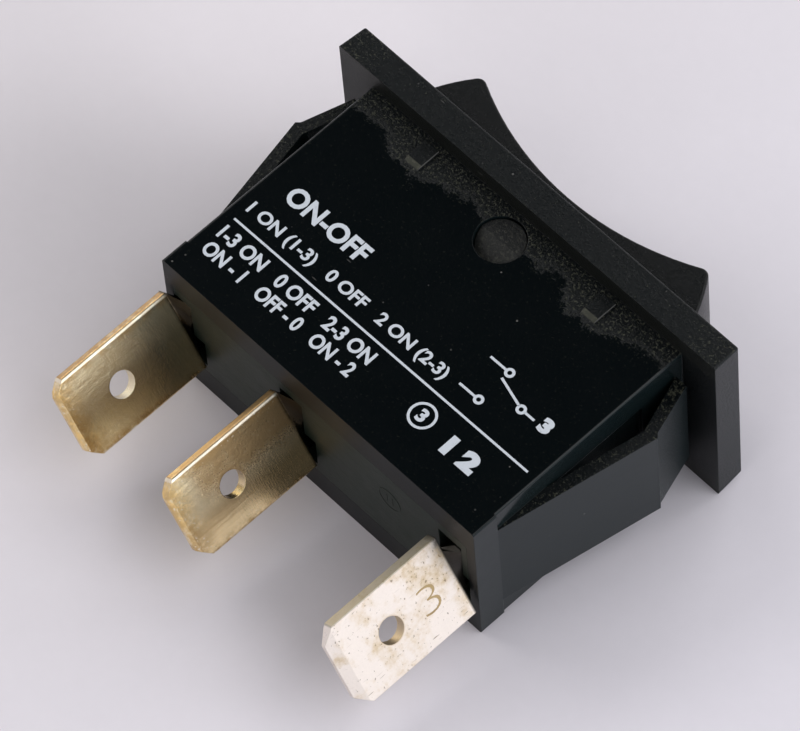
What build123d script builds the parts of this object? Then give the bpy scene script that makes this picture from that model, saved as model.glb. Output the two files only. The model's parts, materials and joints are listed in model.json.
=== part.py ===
from build123d import *
import os
from math import atan2, cos, degrees, radians, sin, sqrt

# Narrow single-pole changeover rocker switch for a snap-in panel cut-out.
#
# Frame, in millimetres: the origin is the middle of the panel plane, which is the
# back face of the bezel. X runs along the switch, Y from the rocker towards the
# terminals (so the panel's front is -Y), and Z across the switch.

# --- bezel -----------------------------------------------------------------------
bezel_length = 34.0
bezel_width = 15.8
bezel_thickness = 2.2
bezel_draft = 0.12            # how far the front edges stand inside the back ones
bezel_edge_radius = 0.15

# --- housing shell ---------------------------------------------------------------
body_length = 28.1
body_width = 12.6
body_depth = 18.2             # from the panel plane to the terminal face
body_edge_radius = 0.2
chamber_side_wall = 2.4       # beside the contacts
chamber_end_wall = 1.1        # beyond the contacts
rocker_side_wall = 1.4        # beside the rocker
rocker_end_wall = 0.7         # beyond the rocker
rocker_cavity_depth = 6.1     # from the panel plane to the step into the chamber
end_cavity_depth = 3.3        # how far the longer cavity of the rocker's ends goes
foot_height = 2.0             # the straight foot that the snap arms grow from
foot_step = 0.12              # how far the foot stands out of the end walls
end_recess_depth = 0.3        # shallow panel in each end wall, behind the snap arm
end_recess_width = 8.0

# --- snap arms -------------------------------------------------------------------
arm_width = 8.9
arm_thickness = 0.95
arm_spread = 33.0             # over the two catches, unclipped
arm_catch_depth = 4.6         # from the panel plane to the widest point
arm_catch_step = 0.26
arm_tip_depth = 0.7
arm_tip_spread = 30.2

# --- centring ribs on the two broad walls ------------------------------------------
rib_spacing = 16.0
rib_width = 1.2
rib_height = 0.2
rib_start = 0.45
rib_top_end = 2.0
rib_slope = 0.45               # length of the slanted end face

# --- rocker ------------------------------------------------------------------------
pivot_depth = 2.2             # trunnion axis behind the panel plane
trunnion_radius = 1.67
trunnion_running_gap = 0.08
trunnion_recess = 0.2         # how far the trunnion ends lie inside the broad walls
trunnion_lead_in = 0.75       # depth of the slanted half of each trunnion end
rocker_side_gap = 0.15
rocker_end_radius = 13.2      # the rocker's ends are round about the trunnion axis
rocker_rise = 6.15            # the proud ends, in front of the panel plane
rocker_dish_rise = 3.64       # the middle of the dish, in front of the panel plane
rocker_tip_radius = 0.6
rocker_edge_radius = 0.15     # along both sides of the dish
rocker_skin = 1.3
rocker_skirt_rise = 0.8       # the lower edge of the rocker, in front of the panel plane
rocker_lobe_radius = 3.1
stem_radius = 2.6

# --- plunger and its spring ---------------------------------------------------------
plunger_radius = 1.5
plunger_bore_gap = 0.06
plunger_tip_radius = 0.9
plunger_tip_gap = 0.1
plunger_guide = 2.9           # length held in the stem
plunger_projection = 2.4      # length that stands out of the stem
nipple_radius = 0.85
nipple_height = 1.3
spring_wire = 0.3             # across the flats of its six-sided stand-in section
spring_wall_gap = 0.12
spring_end_gap = 0.03
spring_turns = 4.5
spring_seat_rise = 0.2        # below the dish: the bore's closed end to the panel plane

# --- contacts and terminals -----------------------------------------------------------
strip = 0.8                   # sheet thickness of all three terminals
neck_width = 5.6              # terminal where it passes through the base
common_neck_width = 4.0       # the common terminal's neck where it twists
bend_radius = 0.45
contact_offset = 8.0          # from the rocker's axis to the contact rivets
contact_gap = 1.7
contact_radius = 1.5
contact_head = 0.6
rivet_radius = 0.8
moving_head = 0.5
lever_thickness = 0.8
lever_width = 5.2
lever_tail = 3.4              # the lever's short side, beyond its pivot
lever_overhang = 1.7          # the lever beyond its contact
lever_bead_radius = 0.5
lever_bead_stand = 0.25       # how far the bead stands out under the lever's notch
lever_ridge_offset = 1.3      # from the pivot to the ridges beside the notch
lever_ridge_rise = 0.08
lever_notch_depth = 0.15
cradle_gap = 0.05
cradle_length = 1.8
cradle_lip = 0.35             # from the pivot axis to the top of the cradle's ears
upper_strip_overhang = 1.8    # the upper strip beyond its contact
lower_strip_overhang = 1.8
end_strip_gap = 0.2           # between an end terminal and the chamber's end wall
lower_tab_offset = 2.1        # the middle terminal's distance from the rocker's axis

# --- base plate -----------------------------------------------------------------------
plate_thickness = 2.0
plate_ledge = 0.45            # the ledge in each end wall that the plate seats on
plate_fit = 0.02
slot_gap = 0.12
slot_relief = 1.1             # wider mouth beside each twisted neck
slot_relief_depth = 0.9
slot_relief_width = 2.7
slot_relief_end = 0.1         # the mouth beyond the slot's end

# --- blades (quick-connect tabs) --------------------------------------------------------
blade_width = 6.3
blade_reach = 10.3            # from the terminal face to the blade's end
blade_twist = 33.0            # degrees about the direction of insertion
twist_sink = 0.25             # the twist starts this far inside the slot's mouth
blade_stand = 0.45            # from the terminal face to the blade's shoulders
brass_blade_shift = 0.3       # the two brass blades' middle from the necks', along Z
common_blade_shift = -0.2
blade_corner = 1.0
blade_edge_radius = 0.2       # the rolled long edges of the two brass blades
brass_bevel_length = 0.25
common_bevel_length = 0.8
blade_bevel_depth = 0.22
detent_radius = 0.95
detent_from_end = 4.3

# --- places worked out from the sizes above ------------------------------------------------
bezel_front = -bezel_thickness
cavity_half_width = body_width / 2 - rocker_side_wall
cavity_half_length = body_length / 2 - rocker_end_wall
chamber_half_width = body_width / 2 - chamber_side_wall
chamber_half_length = body_length / 2 - chamber_end_wall
plate_half_length = chamber_half_length + plate_ledge
plate_top = body_depth - plate_thickness
recess_floor = body_length / 2 - end_recess_depth
arm_root_x = body_length / 2 + foot_step
arm_root_y = body_depth - foot_height
arm_slope = (arm_spread / 2 - arm_root_x) / (arm_root_y - arm_catch_depth)
arm_across = arm_thickness * sqrt(1 + arm_slope ** 2)
arm_web_height = (recess_floor - arm_root_x + arm_across) / arm_slope

floor_strip_top = plate_top - strip
lower_contact_face = floor_strip_top - contact_head
lever_middle = lower_contact_face - contact_gap - moving_head - lever_thickness / 2
upper_contact_face = lever_middle - lever_thickness / 2 - moving_head - contact_gap
upper_strip_bottom = upper_contact_face - contact_head
lever_top = lever_middle - lever_thickness / 2
lever_bottom = lever_middle + lever_thickness / 2
notch_bottom = lever_top + lever_notch_depth
lever_pivot = lever_bottom + lever_notch_depth + lever_bead_stand - lever_bead_radius
cradle_top = lever_pivot + cradle_lip

plunger_end = notch_bottom - plunger_tip_gap
stem_end = plunger_end - plunger_projection
plunger_shoulder = stem_end - plunger_guide
bore_radius = plunger_radius + plunger_bore_gap
spring_seat = -spring_seat_rise

upper_tab_x = chamber_half_length - end_strip_gap - strip / 2
common_tab_x = -upper_tab_x
lower_tab_x = lower_tab_offset
twist_start = body_depth - twist_sink
blade_start = body_depth + blade_stand
mouth_floor = body_depth - slot_relief_depth
blade_end = body_depth + blade_reach
half_slot = strip / 2 + slot_gap
slot_half_length = neck_width / 2 + slot_gap
blade_across = (sin(radians(blade_twist)), 0, cos(radians(blade_twist)))
blade_normal = (-cos(radians(blade_twist)), 0, sin(radians(blade_twist)))


# --- small helpers ----------------------------------------------------------------------------
def slab(points, half_width):
    """A closed outline in the XY plane, thickened both ways along Z."""
    outline = make_face(Polyline(*points, close=True))
    return extrude(outline, amount=half_width, both=True)


def block(x_range, y_range, half_width):
    """A rectangular block between two X and two Y values, centred on Z."""
    points = [
        (x_range[0], y_range[0]),
        (x_range[1], y_range[0]),
        (x_range[1], y_range[1]),
        (x_range[0], y_range[1]),
    ]
    return slab(points, half_width)


def post(radius, x, y_from, y_to):
    """A round post along Y."""
    base = Plane(origin=(x, y_from, 0), z_dir=(0, 1, 0))
    return extrude(base * Circle(radius), amount=y_to - y_from)


def cross_pin(radius, y, z_from, z_to):
    """A round pin along Z on the middle plane of the switch."""
    base = Plane(origin=(0, y, z_from))
    return extrude(base * Circle(radius), amount=z_to - z_from)


def bent_strip(points, width):
    """Sheet strip that follows a path in the XY plane, with rounded bends."""
    path = FilletPolyline(*points, radius=bend_radius + strip / 2)
    start = Plane(origin=path @ 0, x_dir=(0, 0, 1), z_dir=path % 0)
    return sweep(start * Rectangle(width, strip), path=path)


# --- housing: bezel, shell and snap arms in one moulding ------------------------------------------
def bezel_plate():
    """The flange, a little smaller in front than at the back."""
    back = Plane(origin=(0, 0, 0), x_dir=(1, 0, 0), z_dir=(0, -1, 0))
    front = Plane(origin=(0, bezel_front, 0), x_dir=(1, 0, 0), z_dir=(0, -1, 0))
    front_length = bezel_length - 2 * bezel_draft
    front_width = bezel_width - 2 * bezel_draft
    sections = [back * Rectangle(bezel_length, bezel_width), front * Rectangle(front_length, front_width)]
    plate = loft(sections)
    front_edges, corner_edges, _ = plate.edges().group_by(Axis.Y)
    return fillet(front_edges + corner_edges, bezel_edge_radius)


def shell_outside():
    """The outer block of the shell with its standing foot."""
    half = body_length / 2
    walls = block((-half, half), (0, body_depth), body_width / 2)
    walls = fillet(walls.edges().filter_by(Axis.Y), body_edge_radius)
    foot_from = body_depth - foot_height
    foot = block((-half - foot_step, half + foot_step), (foot_from, body_depth), body_width / 2)
    return walls + fillet(foot.edges().filter_by(Axis.Y), body_edge_radius)


def snap_arm(side):
    """One springy arm: it leaves the foot, flares out to the catch and turns back in."""
    catch_x = arm_spread / 2
    tip_x = arm_tip_spread / 2
    points = [
        (recess_floor, body_depth - foot_height / 2),
        (arm_root_x, body_depth - foot_height / 2),
        (arm_root_x, arm_root_y),
        (catch_x, arm_catch_depth),
        (catch_x - arm_catch_step, arm_catch_depth - arm_catch_step),
        (tip_x, arm_tip_depth),
        (tip_x - arm_thickness, arm_tip_depth),
        (catch_x - arm_across, arm_catch_depth + arm_catch_step),
        (recess_floor, arm_root_y - arm_web_height),
    ]
    arm = slab(points, arm_width / 2)
    return arm if side > 0 else mirror(arm, about=Plane.YZ)


def centring_rib(x, side):
    """A small rib with a slanted end that takes up play across the cut-out."""
    wall = body_width / 2
    top = wall + rib_height
    root = wall - rib_height
    rib_end = rib_top_end + rib_slope
    points = [
        (rib_start, root),
        (rib_start, top),
        (rib_top_end, top),
        (rib_end, wall),
        (rib_end, root),
    ]
    plane = Plane(origin=(x - rib_width / 2, 0, 0), x_dir=(0, 1, 0), z_dir=(1, 0, 0))
    rib = extrude(plane * make_face(Polyline(*points, close=True)), amount=rib_width)
    return rib if side > 0 else mirror(rib, about=Plane.XY)


def housing():
    """Bezel, walls, feet, arms and centring ribs, open at the rocker and the base."""
    body = bezel_plate() + shell_outside()
    recess_from = end_cavity_depth + end_recess_depth
    for side in (-1, 1):
        recess = sorted((side * recess_floor, side * arm_root_x))
        body -= block(recess, (recess_from, arm_root_y), end_recess_width / 2)
    for side in (-1, 1):
        body += snap_arm(side)
        for end in (-1, 1):
            body += centring_rib(end * rib_spacing / 2, side)
    deep = (-chamber_half_length, chamber_half_length)
    body -= block(deep, (bezel_front - 1, rocker_cavity_depth), cavity_half_width)
    wide = (-cavity_half_length, cavity_half_length)
    body -= block(wide, (bezel_front - 1, end_cavity_depth), cavity_half_width)
    body -= block(deep, (rocker_cavity_depth - 1, body_depth + 1), chamber_half_width)
    plate = (-plate_half_length, plate_half_length)
    body -= block(plate, (plate_top, body_depth + 1), chamber_half_width)
    hole = trunnion_radius + trunnion_running_gap
    body -= cross_pin(hole, pivot_depth, -body_width, body_width)
    return body


# --- base plate ----------------------------------------------------------------------------------
def base_plate():
    """The terminal carrier that closes the chamber, flush with the shell's rim."""
    half_length = plate_half_length - plate_fit
    plate = block((-half_length, half_length), (plate_top, body_depth), chamber_half_width - plate_fit)
    for x in (upper_tab_x, lower_tab_x, common_tab_x):
        slot = block((x - half_slot, x + half_slot), (plate_top - 1, body_depth + 1), slot_half_length)
        plate -= slot + slot_mouth(x)
    for x in (lower_tab_x, common_tab_x):
        plate -= bend_relief(x + half_slot)
    return plate


def slot_mouth(x):
    """The two wider corners of a slot that leave room for the twisted neck."""
    reach = strip / 2 + slot_relief
    cutter = Box(reach + half_slot, 2 * slot_relief_depth, slot_relief_width)
    aside = (reach - half_slot) / 2
    along = slot_half_length + slot_relief_end - slot_relief_width / 2
    return Pos(x + aside, body_depth, along) * cutter + Pos(x - aside, body_depth, -along) * cutter


def bend_relief(edge_x):
    """The chamfer that a terminal bends over where it lies down on the plate."""
    points = [
        (edge_x - half_slot, plate_top - slot_gap),
        (edge_x + bend_radius + slot_gap, plate_top - slot_gap),
        (edge_x - half_slot, plate_top + bend_radius + half_slot),
    ]
    return slab(points, slot_half_length)


# --- rocker ---------------------------------------------------------------------------------------
def round_end_x(rise, radius=rocker_end_radius):
    """Half-length of the rocker's round ends at a height in front of the panel plane."""
    return sqrt(radius ** 2 - (rise + pivot_depth) ** 2)


def rocker_outline():
    """Side profile: dished front, ends round about the trunnion axis, straight lower edge."""
    middle = (rocker_skirt_rise + rocker_rise) / 2
    skirt_x = round_end_x(rocker_skirt_rise)
    middle_x = round_end_x(middle)
    tip_x = round_end_x(rocker_rise)
    dish = ThreePointArc((-tip_x, -rocker_rise), (0, -rocker_dish_rise), (tip_x, -rocker_rise))
    right = ThreePointArc((tip_x, -rocker_rise), (middle_x, -middle), (skirt_x, -rocker_skirt_rise))
    lower = Line((skirt_x, -rocker_skirt_rise), (-skirt_x, -rocker_skirt_rise))
    left = ThreePointArc((-skirt_x, -rocker_skirt_rise), (-middle_x, -middle), (-tip_x, -rocker_rise))
    return make_face([dish, right, lower, left])


def rocker_hollow(half_width):
    """The space under the rocker's skin, open at its lower edge."""
    roof_x = round_end_x(rocker_rise) - rocker_skin
    roof_y = rocker_skin - rocker_rise
    middle_y = rocker_skin - rocker_dish_rise
    mouth_x = round_end_x(rocker_skirt_rise, rocker_end_radius - rocker_skin)
    mouth_y = rocker_skin - rocker_skirt_rise
    roof = ThreePointArc((-roof_x, roof_y), (0, middle_y), (roof_x, roof_y))
    sides = Polyline((roof_x, roof_y), (mouth_x, mouth_y), (-mouth_x, mouth_y), (-roof_x, roof_y))
    return extrude(make_face([roof, sides]), amount=half_width, both=True)


def trunnion_lobe(z_from):
    """The side plate that carries a trunnion below the rocker's skirt."""
    plane = Plane(origin=(0, 0, z_from))
    round_end = Pos(0, pivot_depth) * Circle(rocker_lobe_radius)
    web_height = pivot_depth + rocker_skirt_rise + rocker_skin
    web = Pos(0, pivot_depth - web_height / 2) * Rectangle(2 * rocker_lobe_radius, web_height)
    return extrude(plane * (round_end + web), amount=rocker_skin)


def trunnion(side, half_width):
    """One pivot pin, with the slanted half that lets it snap into its hole."""
    end = body_width / 2 - trunnion_recess
    pin = cross_pin(trunnion_radius, pivot_depth, half_width - rocker_skin, end)
    size = 2 * trunnion_radius
    slant = degrees(atan2(trunnion_lead_in, trunnion_radius))
    cutter = Pos(0, size / 2, size / 2) * Box(2 * size, size, size)
    pin -= Pos(0, pivot_depth, end) * Rot(X=-slant) * cutter
    return pin if side > 0 else mirror(pin, about=Plane.XY)


def rocker():
    """The dished key with its trunnions and the hollow stem of the plunger."""
    half_width = cavity_half_width - rocker_side_gap
    key = extrude(rocker_outline(), amount=half_width, both=True)
    tips = key.edges().filter_by(Axis.Z).group_by(Axis.Y)[0]
    key = fillet(tips, rocker_tip_radius)
    front = key.faces().sort_by(Axis.Y)[0]
    key = fillet(front.edges().filter_by(Axis.Z, reverse=True), rocker_edge_radius)
    key -= rocker_hollow(half_width - rocker_skin)
    stem_top = rocker_skin / 2 - rocker_dish_rise
    key += post(stem_radius, 0, stem_top, stem_end)
    for side in (-1, 1):
        lobe_z = half_width - rocker_skin if side > 0 else -half_width
        key += trunnion_lobe(lobe_z)
        key += trunnion(side, half_width)
    return key - post(bore_radius, 0, spring_seat, stem_end + 1)


# --- plunger and spring --------------------------------------------------------------------------------
def plunger():
    """A turned pin with a nipple for the spring and a round nose."""
    nose_y = plunger_end - plunger_tip_radius
    neck_y = nose_y - (plunger_radius - plunger_tip_radius)
    profile = [
        Line((0, plunger_shoulder - nipple_height), (nipple_radius, plunger_shoulder - nipple_height)),
        Line((nipple_radius, plunger_shoulder - nipple_height), (nipple_radius, plunger_shoulder)),
        Line((nipple_radius, plunger_shoulder), (plunger_radius, plunger_shoulder)),
        Line((plunger_radius, plunger_shoulder), (plunger_radius, neck_y)),
        Line((plunger_radius, neck_y), (plunger_tip_radius, nose_y)),
        nose_arc(nose_y),
        Line((0, plunger_end), (0, plunger_shoulder - nipple_height)),
    ]
    return revolve(make_face(profile), axis=Axis.Y)


def nose_arc(nose_y):
    """A quarter circle from the plunger's side to its end."""
    reach = plunger_tip_radius * sqrt(0.5)
    return ThreePointArc((plunger_tip_radius, nose_y), (reach, nose_y + reach), (0, plunger_end))


def plunger_spring():
    """The coil between the bore's closed end and the plunger's shoulder."""
    coil_radius = bore_radius - spring_wall_gap - spring_wire / 2
    height = plunger_shoulder - spring_seat - spring_wire - 2 * spring_end_gap
    pitch = height / spring_turns
    start = (0, spring_seat + spring_end_gap + spring_wire / 2, 0)
    path = Helix(pitch=pitch, height=height, radius=coil_radius, center=start, direction=(0, 1, 0))
    wire = RegularPolygon(spring_wire / 2, 6, major_radius=False)
    section = Plane(origin=path @ 0, z_dir=path % 0) * wire
    return sweep(section, path=path, is_frenet=True)


# --- lever ---------------------------------------------------------------------------------------------
def contact_lever():
    """The seesaw strip: a notch over its pivot bead, and the contact at its long end."""
    ridge_top = lever_top - lever_ridge_rise
    ridge_bottom = lever_bottom - lever_ridge_rise
    notch_under = lever_bottom + lever_notch_depth
    flat = 2 * lever_ridge_offset
    end = contact_offset + lever_overhang
    points = [
        (-lever_tail, lever_top),
        (-flat, lever_top),
        (-lever_ridge_offset, ridge_top),
        (0, notch_bottom),
        (lever_ridge_offset, ridge_top),
        (flat, lever_top),
        (end, lever_top),
        (end, lever_bottom),
        (flat, lever_bottom),
        (lever_ridge_offset, ridge_bottom),
        (0, notch_under),
        (-lever_ridge_offset, ridge_bottom),
        (-flat, lever_bottom),
        (-lever_tail, lever_bottom),
    ]
    lever = slab(points, lever_width / 2)
    lever += cross_pin(lever_bead_radius, lever_pivot, -lever_width / 2, lever_width / 2)
    return lever - post(rivet_radius, contact_offset, lever_top - 1, lever_bottom + 1)


def moving_contact():
    """The double-headed silver rivet at the lever's end."""
    upper = post(contact_radius, contact_offset, lever_top - moving_head, lever_top)
    shank = post(rivet_radius, contact_offset, lever_top, lever_bottom)
    lower = post(contact_radius, contact_offset, lever_bottom, lever_bottom + moving_head)
    return upper + shank + lower


# --- terminals -----------------------------------------------------------------------------------------
def twisted_neck(x, width, end_width, shift):
    """The short neck that turns from the slot's direction to the blade's."""
    straight = Plane(origin=(x, twist_start, 0), x_dir=(0, 0, 1), z_dir=(0, 1, 0))
    turned = Plane(origin=(x, blade_start, shift), x_dir=blade_across, z_dir=(0, 1, 0))
    return loft([straight * Rectangle(width, strip), turned * Rectangle(end_width, strip)])


def flat_blade(x, shift, bevel_length, edge_radius):
    """The blade itself: clipped corners, bevelled end and a detent hole."""
    origin = (x, blade_start, shift)
    face = Plane(origin=origin, x_dir=blade_across, z_dir=blade_normal)
    side = Plane(origin=origin, x_dir=blade_normal, z_dir=tuple(-part for part in blade_across))
    length = blade_end - blade_start
    half = blade_width / 2
    corner_y = length - blade_corner
    clipped = half - blade_corner
    outline = [
        (-half, 0),
        (half, 0),
        (half, corner_y),
        (clipped, length),
        (-clipped, length),
        (-half, corner_y),
    ]
    body = extrude(face * make_face(Polyline(*outline, close=True)), amount=strip / 2, both=True)
    if edge_radius:
        body = fillet(body.edges().filter_by(Axis.Y), edge_radius)
    thick = strip / 2
    edge = thick - blade_bevel_depth
    bevel_y = length - bevel_length
    profile = [
        (-thick, 0),
        (thick, 0),
        (thick, bevel_y),
        (edge, length),
        (-edge, length),
        (-thick, bevel_y),
    ]
    body &= extrude(side * make_face(Polyline(*profile, close=True)), amount=blade_width, both=True)
    hole = face * Pos(0, length - detent_from_end) * Circle(detent_radius)
    return body - extrude(hole, amount=blade_width, both=True)


def brass_blade(x):
    """A blade whose rolled edges run up into a neck of nearly its own width."""
    neck = twisted_neck(x, neck_width, blade_width, brass_blade_shift)
    return neck + flat_blade(x, brass_blade_shift, brass_bevel_length, blade_edge_radius)


def common_blade(x):
    """The common blade, with square shoulders on a narrower neck."""
    straight = Plane(origin=(x, mouth_floor, 0), x_dir=(0, 0, 1), z_dir=(0, 1, 0))
    stem = extrude(straight * Rectangle(common_neck_width, strip), amount=twist_start - mouth_floor)
    neck = twisted_neck(x, common_neck_width, common_neck_width, common_blade_shift)
    return stem + neck + flat_blade(x, common_blade_shift, common_bevel_length, 0)


def terminal_upper():
    """The end terminal that rises beside the end wall and reaches over the lever."""
    reach = contact_offset - upper_strip_overhang
    level = upper_strip_bottom - strip / 2
    path = [(upper_tab_x, twist_start), (upper_tab_x, level), (reach, level)]
    strip_part = bent_strip(path, neck_width)
    strip_part -= post(rivet_radius, contact_offset, level - strip, level + strip)
    return strip_part + brass_blade(upper_tab_x)


def terminal_lower():
    """The middle terminal, which lies on the base plate under the lever's contact."""
    reach = contact_offset + lower_strip_overhang
    level = plate_top - strip / 2
    path = [(lower_tab_x, twist_start), (lower_tab_x, level), (reach, level)]
    strip_part = bent_strip(path, neck_width)
    strip_part -= post(rivet_radius, contact_offset, level - strip, level + strip)
    return strip_part + brass_blade(lower_tab_x)


def terminal_common():
    """The other end terminal, with the cradle of the lever at its inner end."""
    level = plate_top - strip / 2
    path = [(common_tab_x, mouth_floor), (common_tab_x, level), (cradle_length / 2, level)]
    strip_part = bent_strip(path, neck_width)
    return strip_part + cradle_ears() + common_blade(common_tab_x)


def cradle_ears():
    """Two upright ears with round seats for the lever's bead."""
    inner = neck_width / 2 - strip
    span = (-cradle_length / 2, cradle_length / 2)
    ears = block(span, (cradle_top, plate_top - strip / 2), neck_width / 2)
    ears -= block((-cradle_length, cradle_length), (cradle_top - 1, floor_strip_top), inner)
    seat = lever_bead_radius + cradle_gap
    return ears - cross_pin(seat, lever_pivot, -lever_width, lever_width)


def fixed_contact(face, back, seat):
    """A silver rivet: head from its face to the strip, shank through the strip."""
    head = post(contact_radius, contact_offset, min(face, back), max(face, back))
    return head + post(rivet_radius, contact_offset, min(back, seat), max(back, seat))


def fixed_contact_upper():
    """The contact under the upper strip."""
    return fixed_contact(upper_contact_face, upper_strip_bottom, upper_strip_bottom - strip)


def fixed_contact_lower():
    """The contact on the lower strip."""
    return fixed_contact(lower_contact_face, floor_strip_top, plate_top)


PIECES = {
    "housing": housing,
    "base_plate": base_plate,
    "rocker": rocker,
    "plunger": plunger,
    "plunger_spring": plunger_spring,
    "contact_lever": contact_lever,
    "moving_contact": moving_contact,
    "terminal_upper": terminal_upper,
    "terminal_lower": terminal_lower,
    "terminal_common": terminal_common,
    "fixed_contact_upper": fixed_contact_upper,
    "fixed_contact_lower": fixed_contact_lower,
}


def main():
    os.makedirs("parts", exist_ok=True)
    for name, build in PIECES.items():
        export_step(build(), f"parts/{name}.step")


main()
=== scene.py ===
"""Looks of a narrow changeover rocker switch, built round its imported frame."""

import json
import logging
import math
from dataclasses import dataclass, field
from enum import Enum

import bmesh
import bpy
from mathutils import Matrix, Vector


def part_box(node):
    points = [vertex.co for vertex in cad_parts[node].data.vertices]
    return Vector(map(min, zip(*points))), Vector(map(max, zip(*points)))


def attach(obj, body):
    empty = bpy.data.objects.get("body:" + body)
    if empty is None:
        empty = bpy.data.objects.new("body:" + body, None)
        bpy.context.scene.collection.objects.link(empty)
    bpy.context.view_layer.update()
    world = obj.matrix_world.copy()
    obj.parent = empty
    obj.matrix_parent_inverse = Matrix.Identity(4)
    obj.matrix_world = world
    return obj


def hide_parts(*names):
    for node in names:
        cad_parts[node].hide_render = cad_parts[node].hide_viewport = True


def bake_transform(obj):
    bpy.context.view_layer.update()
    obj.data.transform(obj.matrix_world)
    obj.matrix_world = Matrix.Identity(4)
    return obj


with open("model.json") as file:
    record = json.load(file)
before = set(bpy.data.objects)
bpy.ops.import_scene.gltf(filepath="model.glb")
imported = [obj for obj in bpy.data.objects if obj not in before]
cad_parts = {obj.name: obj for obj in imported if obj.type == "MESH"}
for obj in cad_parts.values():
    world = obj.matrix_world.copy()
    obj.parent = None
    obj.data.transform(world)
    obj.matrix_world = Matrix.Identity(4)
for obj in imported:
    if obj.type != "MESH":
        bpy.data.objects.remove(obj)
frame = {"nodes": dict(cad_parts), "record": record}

LOG = logging.getLogger("rocker_switch")
MM = 0.001
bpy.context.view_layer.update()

Colour = tuple[float, float, float]
Triple = tuple[float, float, float]
Pair = tuple[float, float]
Socket = bpy.types.NodeSocket
Piece = bpy.types.Object
Material = bpy.types.Material


class Body(Enum):
    """The switch's rigid bodies by name; the print, the mould mark and the stamp ride on the housing's."""

    HOUSING = "housing_body"
    ROCKER = "rocker_body"
    PLUNGER = "plunger_body"


# --- Shader graphs ---
class Term:
    """A node socket that takes part in arithmetic: each operator adds a Math node."""

    def __init__(self, graph: "NodeTree", socket: Socket) -> None:
        """Wrap one output socket of a tree."""
        self.graph = graph
        self.socket = socket

    def _math(self, operation: str, first: object, second: object = None) -> "Term":
        """Add one Math node for an operation on one or two values."""
        values = {0: first} if second is None else {0: first, 1: second}
        return self.graph.term("ShaderNodeMath", {"operation": operation}, values)

    def __add__(self, other: object) -> "Term":
        """Sum."""
        return self._math("ADD", self, other)

    def __radd__(self, other: object) -> "Term":
        """Sum with a number on the left."""
        return self._math("ADD", other, self)

    def __sub__(self, other: object) -> "Term":
        """Difference."""
        return self._math("SUBTRACT", self, other)

    def __rsub__(self, other: object) -> "Term":
        """Difference from a number on the left."""
        return self._math("SUBTRACT", other, self)

    def __mul__(self, other: object) -> "Term":
        """Product."""
        return self._math("MULTIPLY", self, other)

    def __rmul__(self, other: object) -> "Term":
        """Product with a number on the left."""
        return self._math("MULTIPLY", other, self)

    def __abs__(self) -> "Term":
        """Absolute value."""
        return self._math("ABSOLUTE", self)

    def at_least(self, other: object) -> "Term":
        """The larger of two values."""
        return self._math("MAXIMUM", self, other)

    def at_most(self, other: object) -> "Term":
        """The smaller of two values."""
        return self._math("MINIMUM", self, other)

    def step(self, low: float, high: float) -> "Term":
        """Rise smoothly from 0 at low to 1 at high.

        Args:
            low: Where the rise starts.
            high: Where it ends; below low, the value falls instead.

        Returns:
            The smooth step.
        """
        settings = {"interpolation_type": "SMOOTHSTEP", "clamp": True}
        limits = (low, high, 0.0, 1.0) if low <= high else (high, low, 1.0, 0.0)
        inputs = dict(zip(("From Min", "From Max", "To Min", "To Max"), limits))
        return self.graph.term("ShaderNodeMapRange", settings, {"Value": self} | inputs)


class NodeTree:
    """A node tree in which every node is made in one way: type, settings, then sockets."""

    def __init__(self, tree: bpy.types.NodeTree) -> None:
        """Take up a tree."""
        self.tree = tree

    def node(self, kind: str, settings: dict | None = None, inputs: dict | None = None) -> bpy.types.Node:
        """Add a node.

        Args:
            kind: Its type.
            settings: Its properties, set first.
            inputs: What its sockets hold, by name or number: a Term, a socket or a plain value.

        Returns:
            The node.
        """
        made = self.tree.nodes.new(kind)
        for name, value in (settings or {}).items():
            setattr(made, name, value)
        for key, value in (inputs or {}).items():
            self.feed(made.inputs[key], value)
        return made

    def feed(self, socket: Socket, value: object) -> None:
        """Fill an input.

        Args:
            socket: The input.
            value: A Term or a socket to link, or the input's own value.
        """
        if isinstance(value, Term):
            value = value.socket
        if isinstance(value, Socket):
            self.tree.links.new(value, socket)
        elif isinstance(value, tuple) and socket.type == "RGBA" and len(value) == 3:
            socket.default_value = (*value, 1.0)
        else:
            socket.default_value = value

    def term(self, kind: str, settings: dict | None, inputs: dict, output: int | str = 0) -> Term:
        """Add a node and wrap one of its outputs."""
        return Term(self, self.node(kind, settings, inputs).outputs[output])

    def split(self, vector: Socket) -> tuple[Term, Term, Term]:
        """The three components of a vector."""
        made = self.node("ShaderNodeSeparateXYZ", None, {0: vector})
        return tuple(Term(self, output) for output in made.outputs)

    def blend(self, factor: object, first: object, second: object) -> Socket:
        """Mix two colours."""
        settings = {"data_type": "RGBA", "blend_type": "MIX", "clamp_factor": True}
        return self.node("ShaderNodeMix", settings, {0: factor, 6: first, 7: second}).outputs[2]


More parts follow.
